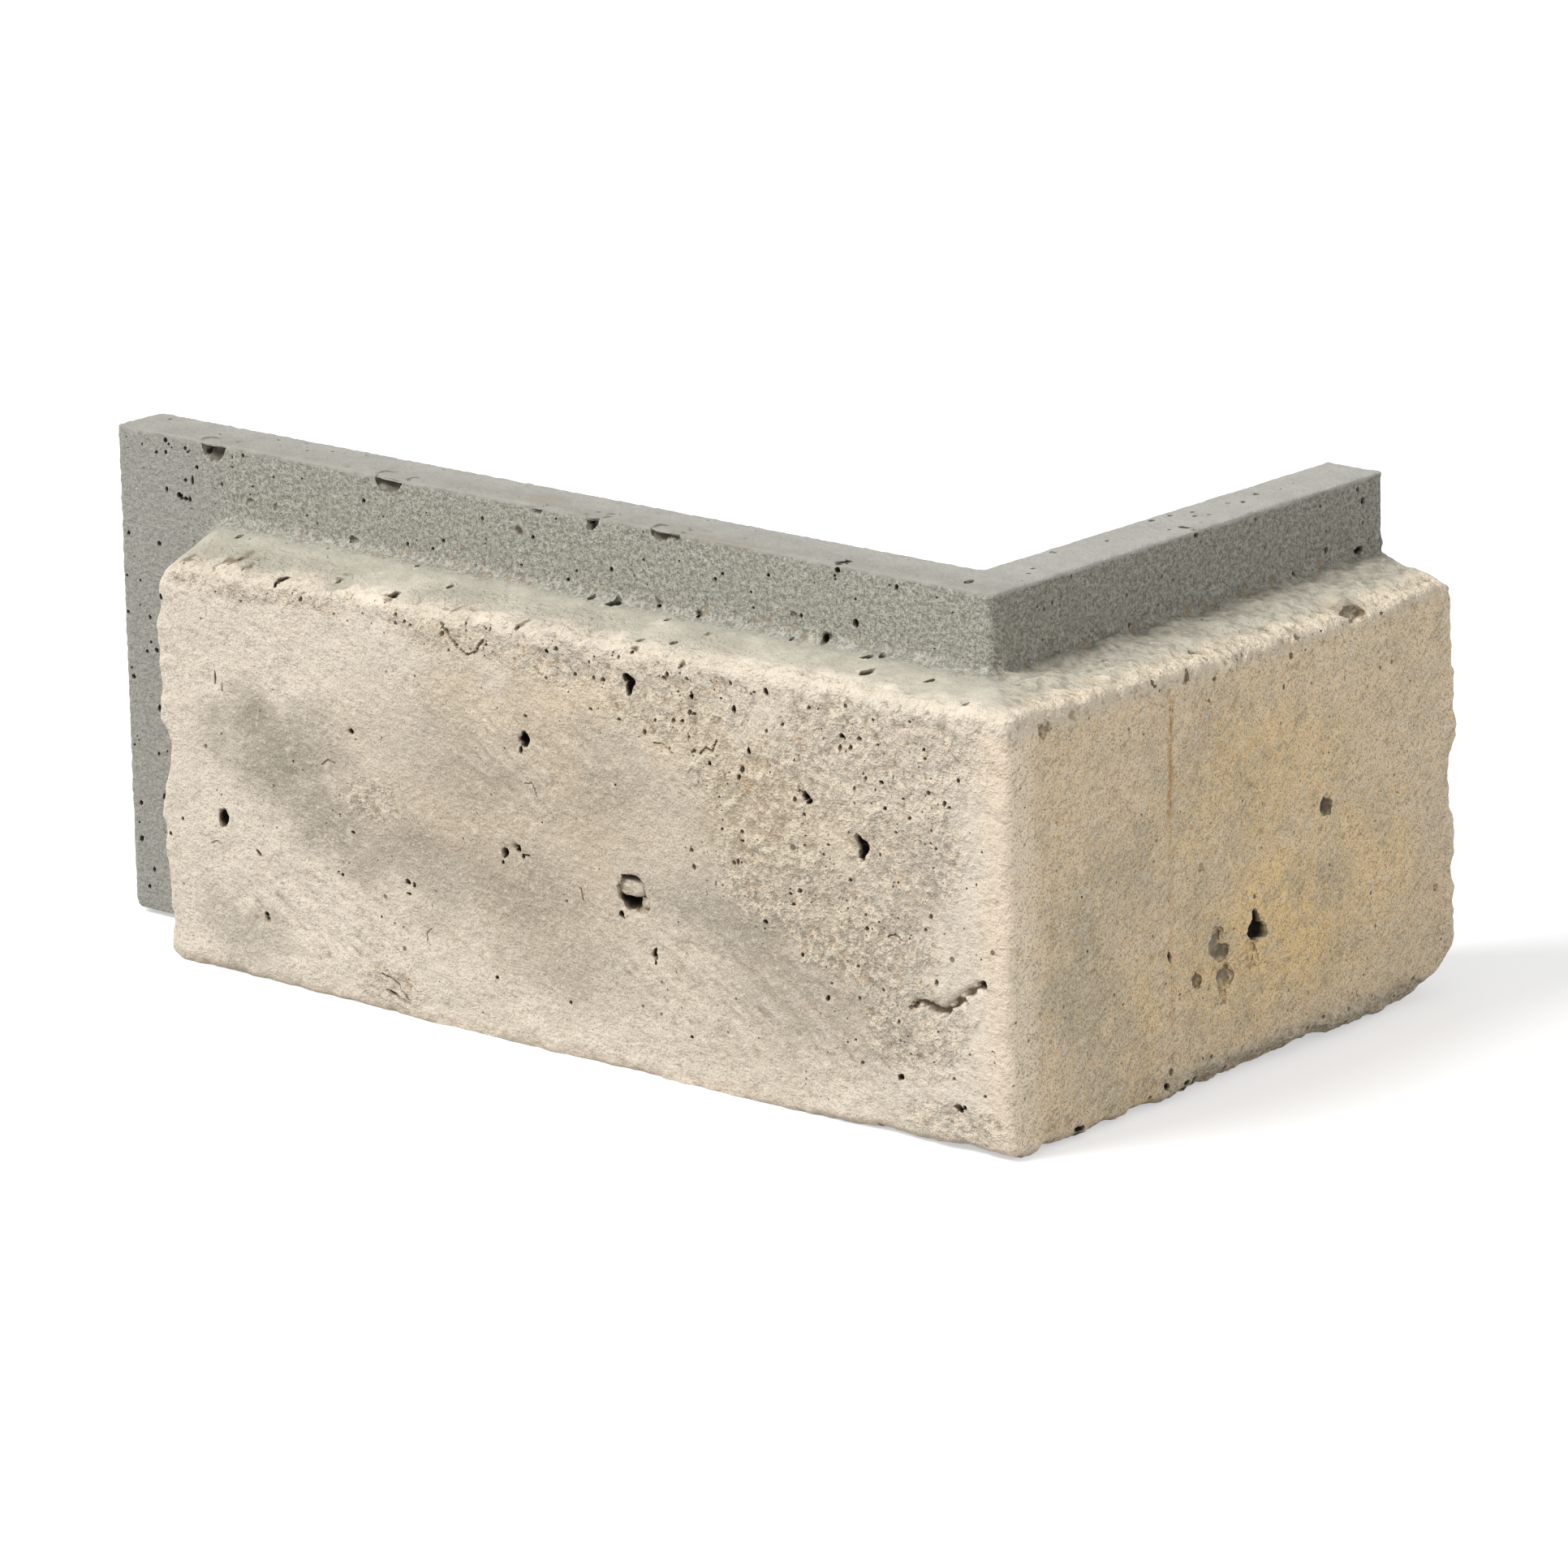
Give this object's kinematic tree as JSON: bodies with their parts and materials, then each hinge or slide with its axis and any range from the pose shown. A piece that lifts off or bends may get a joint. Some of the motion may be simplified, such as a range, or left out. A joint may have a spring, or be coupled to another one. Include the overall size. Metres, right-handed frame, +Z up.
{
  "type": "concrete brick slip corner",
  "caption": "L-shaped cast concrete corner slip: a worn brick face with rounded arrises standing proud of a thin backing slab with a joint ledge above and at one end.",
  "frame": {"origin": "where the two back faces of the backing slab meet, at the foot, which is the arris of the wall corner", "axes": "+Z up; the long leg runs towards -X with its brick face towards -Y; the short leg runs towards +Y with its brick face towards +X"},
  "size_m": [0.184, 0.1035, 0.075],
  "materials": {
    "cast_concrete": "matt cast concrete, cream and ochre washed brick face on a mid grey backing slab"
  },
  "bodies": {
    "root": {"brick_slip_corner": "cast_concrete"}
  },
  "joints": []
}
